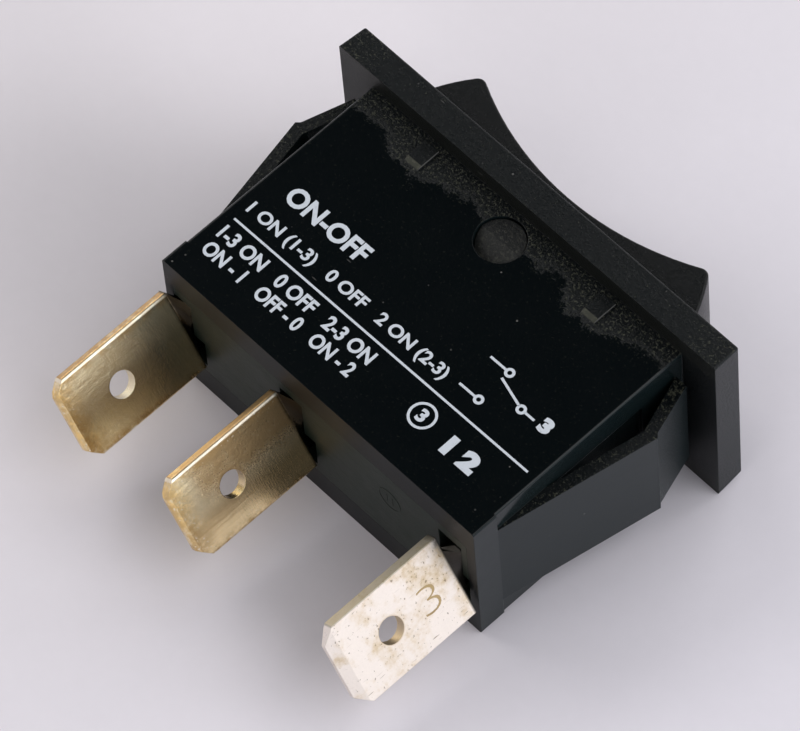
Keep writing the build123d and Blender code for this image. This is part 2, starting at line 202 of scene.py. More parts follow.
class Graph(NodeTree):
    """The node tree of one material."""

    def __init__(self, material: Material) -> None:
        """Empty the material's tree and give it a Principled shader.

        Args:
            material: The material.
        """
        material.use_nodes = True
        super().__init__(material.node_tree)
        self.tree.nodes.clear()
        self.shader = self.node("ShaderNodeBsdfPrincipled")
        self.node("ShaderNodeOutputMaterial", None, {"Surface": self.shader.outputs[0]})

    def place(self) -> Socket:
        """The shaded point in the row frame, in millimetres."""
        return self.shift(self.node("ShaderNodeTexCoord").outputs["Object"], 1 / MM)

    def facing(self) -> Socket:
        """The surface's own normal in the object's frame."""
        return self.node("ShaderNodeTexCoord").outputs["Normal"]

    def stretch(self, vector: Socket, scale: Triple, turn: Triple = (0.0, 0.0, 0.0)) -> Socket:
        """Scale a vector's axes and turn it by angles in radians."""
        inputs = {"Vector": vector, "Rotation": turn, "Scale": scale}
        return self.node("ShaderNodeMapping", {"vector_type": "POINT"}, inputs).outputs[0]

    def noise(self, vector: object, scale: float, detail: float = 3.0, rough: float = 0.55) -> Term:
        """Fractal noise of about 0 to 1, with its scale in cycles per millimetre."""
        inputs = {"Vector": vector, "Scale": scale, "Detail": detail, "Roughness": rough}
        return self.term("ShaderNodeTexNoise", {"normalize": True}, inputs)

    def cells(self, vector: object, scale: float) -> Term:
        """Distance to the nearest of scattered points."""
        return self.term("ShaderNodeTexVoronoi", {"feature": "F1"}, {"Vector": vector, "Scale": scale})

    def measure(self, operation: str, vector: object, other: Vector | Triple) -> Term:
        """The number that an operation on a vector and a fixed one gives."""
        inputs = {0: vector, 1: tuple(other)}
        return self.term("ShaderNodeVectorMath", {"operation": operation}, inputs, "Value")

    def moved(self, vector: object, by: Vector) -> Socket:
        """A vector with a fixed one added."""
        inputs = {0: vector, 1: tuple(by)}
        return self.node("ShaderNodeVectorMath", {"operation": "ADD"}, inputs).outputs[0]

    def shift(self, vector: object, factor: object) -> Socket:
        """Multiply a colour or a vector by a value."""
        inputs = {0: vector, "Scale": factor}
        return self.node("ShaderNodeVectorMath", {"operation": "SCALE"}, inputs).outputs[0]

    def bump(self, height: Term, depth: float, strength: float, edge: float = 0.0) -> Socket:
        """A bumped normal.

        Args:
            height: The relief, of about 0 to 1.
            depth: The relief's full range in millimetres.
            strength: How much of it shows.
            edge: The radius of the softly rounded edges in millimetres, or 0 for none.

        Returns:
            The normal.
        """
        inputs = {"Height": height, "Distance": depth * MM, "Strength": strength}
        if edge:
            softened = self.node("ShaderNodeBevel", {"samples": 6}, {"Radius": edge * MM})
            inputs["Normal"] = softened.outputs[0]
        return self.node("ShaderNodeBump", None, inputs).outputs[0]

    def set(self, **sockets: object) -> None:
        """Feed the Principled shader's sockets, with _ for a space in a name."""
        for name, value in sockets.items():
            self.feed(self.shader.inputs[name.replace("_", " ")], value)


@dataclass(frozen=True)
class Finish:
    """What every finish has: a name, and a graph that a subclass draws."""

    name: str

    def build(self) -> Material:
        """Make the material.

        Returns:
            The material.
        """
        material = bpy.data.materials.new(self.name)
        self.draw(Graph(material))
        return material

    def draw(self, g: Graph) -> None:
        """Fill in the material's graph."""
        raise NotImplementedError


# --- Finishes: masks, noises and distances are in millimetres in the row frame ---
@dataclass(frozen=True)
class HousingNylon(Finish):
    """Black nylon: polished broad walls, a spark-eroded bezel and a dusty matt band beside it."""

    body_half_length: float
    wall: float
    rib_place: float = 8.0
    band_depth: float = 1.75
    lobe_depth: float = 1.15
    arm_matt_to: float = 4.8
    foot_from: float = 10.0
    black: Colour = (0.0016, 0.0028, 0.0034)
    matt_black: Colour = (0.0032, 0.0044, 0.0050)
    # Besides real dust, the dust colour paints a highlight on the ribs' ends.
    dust: Colour = (0.082, 0.083, 0.06)
    # Besides lint, this colour paints a highlight on the ribs' sides.
    lint_and_rib_highlight: Colour = (0.2, 0.195, 0.185)
    # Painted sheen: a bluish tint for the faces towards ±X that stands in for reflected light.
    side: Colour = (0.0085, 0.0155, 0.017)

    def draw(self, g: Graph) -> None:
        """Mask the regions and give each its gloss, grain and dust, with painted sheen on the faces towards
        ±X and painted highlights on the ribs.

        Args:
            g: The material's graph.
        """
        p = g.place()
        x, y, z = g.split(p)
        nx, ny, nz = g.split(g.facing())
        broad = abs(nz).step(0.6, 0.8)
        grain = g.noise(p, 5.0, 3.0, 0.68)
        pits = g.noise(p, 12.0, 2.0, 0.5)
        lobes = abs(abs(x) - self.rib_place).step(3.4, 0.5)
        ragged = (g.noise(p, 0.5, 1.6, 0.5) - 0.5) * 2.2
        inside = self.band_depth + lobes * self.lobe_depth + ragged - y
        behind = y.step(-0.02, 0.06)
        band = (inside * 0.42 + grain * 0.8).step(0.37, 0.53) * broad * behind
        arm = abs(x).step(self.body_half_length + 0.02, self.body_half_length + 0.08)
        arm_top = arm * broad
        rib = abs(z).step(self.wall + 0.02, self.wall + 0.08) * behind
        rib_top = rib * broad * ny.step(0.25, 0.1)
        arm_root = arm * y.step(self.arm_matt_to, self.arm_matt_to - 0.6)
        matt = (1.0 - behind).at_least(band).at_least(arm_root).at_least(arm_top)
        waves = g.noise(g.stretch(p, (0.12, 0.5, 0.5)), 1.0, 2.0)
        relief = (grain * 0.7 + pits * 0.3) * (matt * 0.97 + 0.03 - matt * broad * 0.55) + waves * 0.1
        dusty = inside.step(-0.9, 0.8) * broad * behind
        grains = (g.noise(p, 4.6, 2.0, 0.8) + dusty * 0.07 + arm_top * 0.04).step(0.59, 0.73)
        specks = g.noise(p, 7.5, 2.0, 0.4).step(0.69, 0.76) * (0.06 + matt * 0.4)
        flecks = g.cells(p, 0.8).step(0.07, 0.035) * g.noise(p, 0.31, 1.0).step(0.52, 0.6)
        hairs = g.cells(g.stretch(p, (0.35, 1.6, 1.0), (0.0, 0.0, 0.7)), 0.5).step(0.05, 0.02)
        colour = g.blend(matt * (0.3 + grain * 0.5), self.black, self.matt_black)
        # Painted sheen on the faces towards ±X, stronger behind the bezel.
        colour = g.blend(abs(nx).step(0.4, 0.7) * (0.4 + behind * 0.4), colour, self.side)
        colour = g.blend(grains * (0.08 + dusty.at_least(arm_top) * 0.45 - rib_top * 0.5), colour, self.dust)
        colour = g.blend(specks * (1.0 - broad * behind * 0.5), colour, self.dust)
        # Painted highlights on the ribs, as if lit: some dust colour on their faces towards +Y and much lint
        # colour on their faces towards ±X.
        colour = g.blend(rib * ny.step(0.1, 0.3) * 0.4, colour, self.dust)
        colour = g.blend(rib * abs(nx).step(0.4, 0.8) * 0.75, colour, self.lint_and_rib_highlight)
        colour = g.blend(flecks * 0.5 + hairs * 0.25, colour, self.lint_and_rib_highlight)
        gloss = 0.12 + g.noise(p, 0.21, 3.0) * 0.07 + g.noise(p, 2.3, 3.0) * 0.04
        rough = 0.25 - broad * 0.05 + grain * 0.12
        foot = ny.step(0.5, 0.7) * (0.08 + y.step(self.foot_from, self.foot_from + 2.0) * 0.2)
        roughness = gloss + (rough - gloss) * matt + foot
        g.set(Base_Color=colour, Roughness=roughness, IOR=1.32, Specular_IOR_Level=0.46)
        g.set(Normal=g.bump(relief, 0.13, 0.9, 0.07))


@dataclass(frozen=True)
class PlateNylon(Finish):
    """Black plastic of the terminal carrier, satin with faint flow marks."""

    colour: Colour = (0.0065, 0.011, 0.008)
    haze: Colour = (0.019, 0.029, 0.0215)
    rust: Colour = (0.05, 0.03, 0.014)

    def draw(self, g: Graph) -> None:
        """Satin black with hazy patches, scuffs and a few brown spots.

        Args:
            g: The material's graph.
        """
        p = g.place()
        cloud = g.noise(p, 0.45, 4.0)
        grain = g.noise(p, 6.0, 3.0)
        scuffs = g.noise(g.stretch(p, (0.6, 1.0, 3.2), (0.0, 0.5, 0.0)), 1.1, 4.0).step(0.52, 0.8)
        spots = g.noise(p, 2.3, 3.0, 0.7).step(0.66, 0.76)
        colour = g.blend(cloud * 0.45 + scuffs * 0.4, self.colour, self.haze)
        colour = g.blend(spots * 0.3, colour, self.rust)
        roughness = 0.38 + cloud * 0.14 + scuffs * 0.1
        g.set(Base_Color=colour, Roughness=roughness, IOR=1.34, Specular_IOR_Level=0.42)
        g.set(Normal=g.bump(grain * 0.4 + cloud * 0.6, 0.06, 0.7, 0.06))


@dataclass(frozen=True)
class RockerNylon(Finish):
    """Black plastic with a fine even grain, a little polished where fingers press."""

    trunnion_from: float = 5.2
    colour: Colour = (0.0024, 0.0029, 0.0032)
    worn: Colour = (0.0075, 0.0085, 0.009)
    dust: Colour = (0.07, 0.07, 0.07)
    pin_dust: Colour = (0.075, 0.075, 0.058)

    def draw(self, g: Graph) -> None:
        """Grained black, worn smoother at the proud ends and dusty on the trunnions.

        Args:
            g: The material's graph.
        """
        p = g.place()
        x, y, z = g.split(p)
        flat = abs(g.split(g.facing())[2])
        grain = g.noise(p, 6.5, 3.0, 0.6)
        pores = g.noise(p, 15.0, 2.0)
        touched = abs(x).step(5.5, 9.5) * y.step(-3.5, -5.2)
        dust = g.noise(p, 8.0, 2.0).step(0.67, 0.76)
        colour = g.blend(grain * 0.7 + touched * 0.3, self.colour, self.worn)
        colour = g.blend(dust * 0.4, colour, self.dust)
        pin = abs(z).step(self.trunnion_from, self.trunnion_from + 0.15) * y.step(0.3, 0.45)
        slant = pin * flat.step(0.985, 0.95)
        colour = g.blend(pin * g.noise(p, 3.8, 2.0, 0.8).step(0.5, 0.68) * 0.3, colour, self.pin_dust)
        colour = g.blend(slant * grain * 0.08, colour, self.pin_dust)
        broad = flat.step(0.8, 0.95) * (1.0 - pin)
        roughness = 0.33 + grain * 0.12 - touched * 0.06 - broad * 0.13
        g.set(Base_Color=colour, Roughness=roughness, IOR=1.34, Specular_IOR_Level=0.45)
        g.set(Normal=g.bump((grain * 0.7 + pores * 0.3) * (1.0 - broad * 0.5), 0.09, 0.9, 0.06))


@dataclass(frozen=True)
class Blade(Finish):
    """What the finishes of the blades share: their own axes from the terminal face down."""

    centre: Vector
    hole: Vector
    twist: float
    half_width: float = 3.15

    def axes(self, g: Graph) -> tuple[Socket, Term, Term]:
        """The shaded point in the blade's own frame.

        Args:
            g: The material's graph.

        Returns:
            The point, its distance from the terminal face and its place across the strip.
        """
        local = g.moved(g.place(), -self.centre / MM)
        local = g.stretch(local, (1.0, 1.0, 1.0), (0.0, -self.twist, 0.0))
        _, along, across = g.split(local)
        return local, along, across

    def from_hole(self, g: Graph) -> Term:
        """Distance from the middle of the blade's hole."""
        return g.measure("DISTANCE", g.place(), self.hole / MM)


@dataclass(frozen=True)
class TarnishedBrass(Blade):
    """Rolled brass strip, dull olive on its faces and coppery along its edges.

    A seed shifts its stains; a bend tilts the relief of the strip's lower side, gilds that side and paints
    shade on its upper side short of the end, as if the strip were slightly bent.
    """

    seed: float = 0.0
    bend_and_painted_shade: float = 0.0
    metal: Colour = (0.98, 0.89, 0.64)
    gold: Colour = (0.93, 0.66, 0.27)
    brown: Colour = (0.36, 0.215, 0.08)
    copper: Colour = (0.52, 0.33, 0.155)
    pale: Colour = (0.97, 0.93, 0.8)
    # Near-black for the pin dots and for painted shade at the root.
    black_and_root_shade: Colour = (0.022, 0.018, 0.012)

    def draw(self, g: Graph) -> None:
        """Streaked brass with brown blooms, stronger towards the edges and the root, a painted highlight
        along the rounded edges and painted shade where the strip enters the slot.

        Args:
            g: The material's graph.
        """
        edge = self.half_width
        local, along, across = self.axes(g)
        q = g.moved(local, Vector((self.seed, self.seed, 0.0)))
        streaks = g.noise(g.stretch(q, (1.0, 0.14, 2.6)), 1.6, 4.0, 0.6)
        hairs = g.noise(g.stretch(q, (1.0, 5.0, 0.6), (0.35, 0.0, 0.0)), 2.2, 3.0, 0.6)
        blooms = g.noise(q, 0.42, 4.0, 0.62)
        mottle = g.noise(q, 1.7, 4.0, 0.65)
        fine = g.noise(q, 7.0, 3.0, 0.7)
        spots = g.noise(q, 4.6, 2.0, 0.6).step(0.6, 0.7)
        pins = g.cells(q, 2.3).step(0.1, 0.04)
        end = along.step(8.2, 10.4)
        fringe = abs(across).step(edge - 0.85, edge - 0.05).at_least(end) * mottle.step(0.34, 0.6)
        hole_rim = self.from_hole(g).step(1.45, 0.95)
        # Painted shade on the upper side of a bent strip, short of its end, carried in the brown tint.
        shade = along.step(9.6, 7.5) * across.step(-1.6, 1.4) * (self.bend_and_painted_shade * 1.35)
        browned_and_shaded = blooms.step(0.45, 0.72) * 0.18 + fringe * 0.45 + along.step(6.0, 0.3) * 0.15
        browned_and_shaded = browned_and_shaded + hole_rim * 0.2 + shade
        gilt = (fringe * 0.9).at_least(blooms.step(0.56, 0.4) * end)
        gilt = gilt.at_least(across.step(0.5, -1.5) * self.bend_and_painted_shade)
        colour = g.blend(gilt.at_most(1.0), self.metal, self.gold)
        colour = g.blend(browned_and_shaded.at_most(0.85), colour, self.brown)
        colour = g.shift(colour, 0.8 + fine * 0.25 + streaks * 0.15)
        colour = g.blend(spots * (0.1 + end.at_least(fringe) * 0.75), colour, self.pale)
        colour = g.blend(pins * 0.5, colour, self.black_and_root_shade)
        # Painted highlight: a near-white band along the rounded long edges, standing in for the light that
        # they catch.
        painted_edge_highlight = across.step(edge - 0.29, edge - 0.17) * across.step(edge - 0.02, edge - 0.08)
        colour = g.blend(painted_edge_highlight * (0.95 - mottle * 0.5), colour, self.pale)
        coppery = across.step(edge - 0.06, edge - 0.01) * (0.55 + mottle.step(0.4, 0.6) * 0.4)
        colour = g.blend(coppery, colour, self.copper)
        # Painted shade: the strip goes near-black where it enters the slot.
        colour = g.blend((along + mottle * 0.25).step(0.85, 0.5) * 0.985, colour, self.black_and_root_shade)
        roughness = 0.13 + fine * 0.12 + browned_and_shaded * 0.12 + painted_edge_highlight * 0.12
        fall = (across + 0.4).at_most(0.0) * along.step(2.5, 6.0)
        relief = streaks * 0.3 + hairs * 0.22 + mottle * 0.2 + fine * 0.24 - fall * fall * (self.bend_and_painted_shade * 1.9)
        g.set(Base_Color=colour, Metallic=1.0, Roughness=roughness)
        g.set(Normal=g.bump(relief, 0.03, 0.8, 0.05))


@dataclass(frozen=True)
class StainedSilver(Blade):
    """Silver plate, matt and scratched, with tan stains, dark specks and a brown rim at the hole."""

    metal: Colour = (0.86, 0.79, 0.725)
    tan: Colour = (0.60, 0.46, 0.26)
    brown: Colour = (0.16, 0.11, 0.06)
    scratch: Colour = (0.2, 0.14, 0.08)
    bare_edge: Colour = (0.33, 0.29, 0.2)
    # Near-black for painted shade at the root.
    black_and_root_shade: Colour = (0.03, 0.028, 0.025)

    def draw(self, g: Graph) -> None:
        """Pale metal with stains and scratches, and painted shade at the root.

        Args:
            g: The material's graph.
        """
        edge = self.half_width
        q, along, across = self.axes(g)
        clouds = g.noise(q, 0.5, 4.0, 0.65)
        mottle = g.noise(q, 2.2, 4.0, 0.7)
        fine = g.noise(q, 6.5, 3.0, 0.7)
        hole = self.from_hole(g)
        near_hole = hole.step(2.9, 1.0)
        hole_rim = hole.step(1.2, 0.96)
        root = along.step(4.8, 1.2)
        wet = (clouds + near_hole * 0.14 + root * across.step(-2.4, -0.5) * 0.16).step(0.5, 0.72)
        stains = wet * (0.4 + mottle.step(0.36, 0.66) * 0.6)
        specks = (g.noise(q, 4.4, 2.0, 0.6) + wet * 0.03).step(0.66, 0.72)
        scratches = g.noise(g.stretch(q, (1.0, 0.25, 2.6), (0.12, 0.0, 0.0)), 3.2, 1.0).step(0.7, 0.74)
        low_edge = across.step(-1.9, -2.4) * across.step(-3.0, -2.6)
        colour = g.shift(self.metal, 0.94 + fine * 0.12)
        colour = g.blend((stains * 0.75).at_least(hole_rim * 0.8), colour, self.tan)
        colour = g.blend(specks * 0.65, colour, self.brown)
        colour = g.blend(scratches * (0.12 + low_edge * 0.6), colour, self.scratch)
        colour = g.blend(across.step(edge - 0.13, edge - 0.05) * 0.72, colour, self.bare_edge)
        # Painted shade: the strip goes near-black where it enters the slot, and dark at the root's upper
        # corner.
        corner_shade = (along + mottle * 0.9).step(1.5, 0.75) * across.step(1.2, 2.4)
        colour = g.blend((corner_shade * 0.9).at_least(along.step(0.66, 0.44) * 0.985), colour, self.black_and_root_shade)
        g.set(Base_Color=colour, Metallic=0.9, Roughness=0.34 + mottle * 0.12 + stains * 0.08)
        g.set(Normal=g.bump(mottle * 0.4 + fine * 0.3 - scratches * 0.3, 0.03, 0.6, 0.05))


@dataclass(frozen=True)
class Ink(Finish):
    """White pad-printed ink, thin in places."""

    colour: Colour = (0.56, 0.60, 0.66)
    worn: Colour = (0.2, 0.22, 0.25)

    def draw(self, g: Graph) -> None:
        """Slightly patchy white.

        Args:
            g: The material's graph.
        """
        p = g.place()
        thin = g.noise(p, 2.6, 4.0, 0.65).step(0.55, 0.8)
        pin = g.noise(p, 11.0, 2.0).step(0.68, 0.75)
        colour = g.blend(thin * 0.35 + pin * 0.5, self.colour, self.worn)
        g.set(Base_Color=colour, Roughness=0.42 + thin * 0.15)
        g.set(Normal=g.bump(g.noise(p, 9.0, 2.0), 0.01, 0.5))


@dataclass(frozen=True)
class InnerMetal(Finish):
    """Plain worked metal of the parts inside."""

    colour: Colour
    shade: Colour
    roughness: float
    grain: float = 3.0

    def draw(self, g: Graph) -> None:
        """Lightly brushed metal.

        Args:
            g: The material's graph.
        """
        p = g.place()
        brushed = g.noise(g.stretch(p, (0.3, 1.0, 1.0)), self.grain, 4.0, 0.6)
        blotch = g.noise(p, 0.8, 3.0)
        colour = g.blend(blotch.step(0.4, 0.8) * 0.5, self.colour, self.shade)
        g.set(Base_Color=colour, Metallic=1.0, Roughness=self.roughness + brushed * 0.12)
        g.set(Normal=g.bump(brushed, 0.01, 0.5))


@dataclass(frozen=True)
class Acetal(Finish):
    """Natural acetal of the plunger."""

    colour: Colour = (0.72, 0.7, 0.63)
    cloudy: Colour = (0.6, 0.57, 0.48)

    def draw(self, g: Graph) -> None:
        """Milky plastic with a faint polish.

        Args:
            g: The material's graph.
        """
        p = g.place()
        cloud = g.noise(p, 1.2, 3.0)
        colour = g.blend(cloud * 0.5, self.colour, self.cloudy)
        g.set(Base_Color=colour, Roughness=0.3 + cloud * 0.1)
        g.set(Normal=g.bump(g.noise(p, 5.0, 2.0), 0.01, 0.4))


@dataclass(frozen=True)
class TableTop(Finish):
    """Pale lilac-grey paper with painted light and shade: its tone shades off to one side, it is darker
    round the switch, and it has broad painted patches of light and shade.

    Each patch has its middle, how far it reaches and how much it adds to the tone.
    """

    across: Vector
    pale: Colour = (0.735, 0.705, 0.765)
    deep: Colour = (0.66, 0.625, 0.66)
    spread: float = 32.0
    middle: Triple = (-4.0, 10.0, -7.0)
    patches: tuple[tuple[Triple, float, float], ...] = (
        ((26.5, 17.4, -7.9), 19.0, -0.2),
        ((-9.6, -12.9, -7.9), 15.0, -0.07),
        ((30.5, -4.0, -7.9), 17.0, 0.1),
    )

    def draw(self, g: Graph) -> None:
        """A painted fall of light across the paper, painted shadow round the switch and a faint mottling.

        Args:
            g: The material's graph.
        """
        p = g.place()
        run = g.measure("DOT_PRODUCT", p, self.across)
        away = g.measure("DISTANCE", p, self.middle)
        # Painted light: the tone runs from deep to pale across the table.
        tone = (run + g.noise(p, 0.035, 2.0) * 6.0 - 3.0).step(-self.spread, self.spread)
        mottle = g.noise(p, 0.25, 4.0) - 0.5
        fibre = g.noise(p, 1.1, 4.0, 0.6) - 0.5
        # Painted shadow: the paper is darker near the middle under the switch and paler further away.
        level = mottle * 0.03 + fibre * 0.035 + 0.915 + away.step(6.0, 28.0) * 0.165
        # Each patch paints light where its share is positive and shade where it is negative.
        for spot, reach, share in self.patches:
            level = level + g.measure("DISTANCE", p, spot).step(reach, 2.0) * share
        colour = g.shift(g.blend(tone, self.deep, self.pale), level)
        g.set(Base_Color=colour, Roughness=0.75, Specular_IOR_Level=0.25)


# --- Geometry node trees ---
class Recipe(NodeTree):
    """A Geometry Nodes tree with named inputs, which ends in Realize Instances and Set Material."""

    def __init__(self, name: str, inputs: dict[str, int | float]) -> None:
        """Start a tree.

        Args:
            name: The tree's name.
            inputs: The default of each number that it takes, by name; it takes a material too.
        """
        super().__init__(bpy.data.node_groups.new(name, "GeometryNodeTree"))
        sockets = self.tree.interface
        sockets.new_socket("Geometry", in_out="INPUT", socket_type="NodeSocketGeometry")
        for label, default in inputs.items():
            kind = "NodeSocketInt" if isinstance(default, int) else "NodeSocketFloat"
            sockets.new_socket(label, in_out="INPUT", socket_type=kind).default_value = default
        sockets.new_socket("Material", in_out="INPUT", socket_type="NodeSocketMaterial")
        sockets.new_socket("Geometry", in_out="OUTPUT", socket_type="NodeSocketGeometry")
        self.entry = self.node("NodeGroupInput")
        self.exit = self.node("NodeGroupOutput")

    def given(self, label: str) -> Socket:
        """The socket of a named input."""
        return self.entry.outputs[label]

    def close(self, geometry: Socket) -> None:
        """Realize the instances, set the material and end the tree.

        Args:
            geometry: What the tree has made.
        """
        realized = self.node("GeometryNodeRealizeInstances", None, {"Geometry": geometry})
        inputs = {"Geometry": realized.outputs[0], "Material": self.given("Material")}
        dressed = self.node("GeometryNodeSetMaterial", None, inputs)
        self.feed(self.exit.inputs[0], dressed.outputs[0])

    def bake(self, name: str, values: dict[str, object]) -> Piece:
        """Run the tree on an empty mesh and keep the result as a plain mesh.

        Args:
            name: The new object's name.
            values: The value of each input, by name.

        Returns:
            The object, with no modifier left on it.
        """
        host = add_object(name, bpy.data.meshes.new(name))
        modifier = host.modifiers.new("recipe", "NODES")
        modifier.node_group = self.tree
        for item in self.tree.interface.items_tree:
            if item.item_type == "SOCKET" and item.in_out == "INPUT" and item.name in values:
                modifier[item.identifier] = values[item.name]
        bpy.context.view_layer.update()
        graph = bpy.context.evaluated_depsgraph_get()
        mesh = bpy.data.meshes.new_from_object(host.evaluated_get(graph))
        mesh.name = name
        host.modifiers.clear()
        host.data = mesh
        return host


def bar_row_recipe() -> Recipe:
    """A row of equal flat bars along X, the first one centred on the origin.

    Returns:
        The recipe.
    """
    recipe = Recipe("bar_row", {"Count": 1, "Pitch": 1.0, "Length": 1.0, "Width": 0.2, "Thickness": 0.02})
    size = recipe.node("ShaderNodeCombineXYZ", None, {
        0: recipe.given("Length"), 1: recipe.given("Width"), 2: recipe.given("Thickness"),
    })
    bar = recipe.node("GeometryNodeMeshCube", None, {"Size": size.outputs[0]})
    offset = recipe.node("ShaderNodeCombineXYZ", None, {0: recipe.given("Pitch")})
    line = recipe.node("GeometryNodeMeshLine", {"mode": "OFFSET"}, {
        "Count": recipe.given("Count"), "Offset": offset.outputs[0],
    })
    row = recipe.node("GeometryNodeInstanceOnPoints", None, {
        "Points": line.outputs[0], "Instance": bar.outputs["Mesh"],
    })
    recipe.close(row.outputs[0])
    return recipe


def coil_recipe() -> Recipe:
    """Round wire wound into a helix that rises along Z from the origin.

    Returns:
        The recipe.
    """
    recipe = Recipe("coil", {"Turns": 4.0, "Radius": 1.0, "Height": 5.0, "Wire": 0.2})
    helix = recipe.node("GeometryNodeCurveSpiral", None, {
        "Resolution": 36, "Rotations": recipe.given("Turns"), "Start Radius": recipe.given("Radius"),
        "End Radius": recipe.given("Radius"), "Height": recipe.given("Height"),
    })
    wire = recipe.node("GeometryNodeCurvePrimitiveCircle", None, {
        "Resolution": 10, "Radius": recipe.given("Wire"),
    })
    tube = recipe.node("GeometryNodeCurveToMesh", None, {
        "Curve": helix.outputs[0], "Profile Curve": wire.outputs[0], "Fill Caps": True,
    })
    smooth = recipe.node("GeometryNodeSetShadeSmooth", None, {"Geometry": tube.outputs[0]})
    recipe.close(smooth.outputs[0])
    return recipe


# --- Meshes ---
def add_object(name: str, data: bpy.types.ID) -> Piece:
    """Put a mesh, a curve, a lamp or a camera into the scene.

    Args:
        name: The new object's name.
        data: What it shows.

    Returns:
        The object.
    """
    made = bpy.data.objects.new(name, data)
    bpy.context.scene.collection.objects.link(made)
    return made


def shape_object(name: str, shape: bmesh.types.BMesh) -> Piece:
    """Put an edited shape into the scene.

    Args:
        name: The new object's name.
        shape: The shape, which is freed.

    Returns:
        The object.
    """
    mesh = bpy.data.meshes.new(name)
    shape.to_mesh(mesh)
    shape.free()
    return add_object(name, mesh)


def settle(obj: Piece, place: Matrix) -> Piece:
    """Move a mesh to its place and leave its object at the origin.

    Args:
        obj: The mesh object.
        place: Where its mesh goes.

    Returns:
        The object.
    """
    obj.data.transform(place)
    obj.matrix_world = Matrix.Identity(4)
    return obj


def text_mesh(name: str, words: str, size: float, weight: float, thickness: float, box: Pair) -> Piece:
    """Lettering as a thin solid mesh, stretched to fill a box with its corner at the origin.

    Args:
        name: The object's name.
        words: What it says.
        size: The font size.
        weight: How far the strokes are thickened.
        thickness: How thick the print is.
        box: The length and height to fill.

    Returns:
        The mesh object, in the XY plane.
    """
    curve = bpy.data.curves.new(name, "FONT")
    curve.body = words
    curve.size = size
    curve.offset = weight
    curve.extrude = thickness / 2
    curve.resolution_u = 4
    writer = add_object(name, curve)
    bpy.context.view_layer.update()
    graph = bpy.context.evaluated_depsgraph_get()
    mesh = bpy.data.meshes.new_from_object(writer.evaluated_get(graph))
    bpy.data.objects.remove(writer)
    xs, ys, _ = zip(*(vertex.co for vertex in mesh.vertices))
    to_corner = Matrix.Translation((-min(xs), -min(ys), 0.0))
    stretch = (box[0] / (max(xs) - min(xs)), box[1] / (max(ys) - min(ys)), 1.0, 1.0)
    mesh.transform(Matrix.Diagonal(stretch) @ to_corner)
    return add_object(name, mesh)


def ring_mesh(name: str, inner: float, outer: float, thickness: float) -> Piece:
    """A flat ring in the XY plane, centred on the origin.

    Args:
        name: The object's name.
        inner: Its inner radius.
        outer: Its outer radius.
        thickness: How thick it is.

    Returns:
        The mesh object.
    """
    steps = 48
    shape = bmesh.new()
    columns = []
    half = Vector((0, 0, thickness / 2))
    for index in range(steps):
        angle = math.tau * index / steps
        turn = Vector((math.cos(angle), math.sin(angle), 0))
        corners = (turn * inner - half, turn * outer - half, turn * outer + half, turn * inner + half)
        columns.append([shape.verts.new(corner) for corner in corners])
    for first, second in zip(columns, columns[1:] + columns[:1]):
        for side in range(4):
            other = (side + 1) % 4
            shape.faces.new((first[side], second[side], second[other], first[other]))
    bmesh.ops.recalc_face_normals(shape, faces=shape.faces)
    return shape_object(name, shape)


def join(name: str, parts: list[Piece]) -> Piece:
    """Merge several meshes into one piece, and drop the separate ones.

    Args:
        name: The piece's name.
        parts: The mesh objects to merge.

    Returns:
        The piece.
    """
    shape = bmesh.new()
    for part in parts:
        shape.from_mesh(part.data)
    for part in parts:
        bpy.data.objects.remove(part)
    return shape_object(name, shape)


def dress(obj: Piece, material: Material) -> None:
    """Give every slot of a piece one material.

    Args:
        obj: The piece.
        material: The material.
    """
    if not obj.data.materials:
        obj.data.materials.append(material)
    for index in range(len(obj.data.materials)):
        obj.data.materials[index] = material


# --- The switch ---
@dataclass
class Switch:
    """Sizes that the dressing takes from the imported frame, in metres."""

    twist: float = math.radians(33.0)
    trunnion_recess: float = 0.2 * MM
    plate_ledge: float = 0.67 * MM
    wall_top: float = field(init=False)
    body_half_length: float = field(init=False)
    terminal_face: float = field(init=False)
    centres: dict[str, Vector] = field(default_factory=dict)
    holes: dict[str, Vector] = field(default_factory=dict)

    def __post_init__(self) -> None:
        """Read the frame's boxes and mounts."""
        _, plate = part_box("base_plate")
        self.terminal_face = plate.y
        self.wall_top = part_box("rocker")[1].z + self.trunnion_recess
        self.body_half_length = plate.x + self.plate_ledge
        for mount in frame["record"]["mounts"]:
            if mount["name"].startswith("tab_detent_"):
                node = mount["name"].replace("tab_detent_", "terminal_")
                x, _, z = mount["pos_m"]
                self.holes[node] = Vector(mount["pos_m"])
                self.centres[node] = Vector((x, self.terminal_face, z))


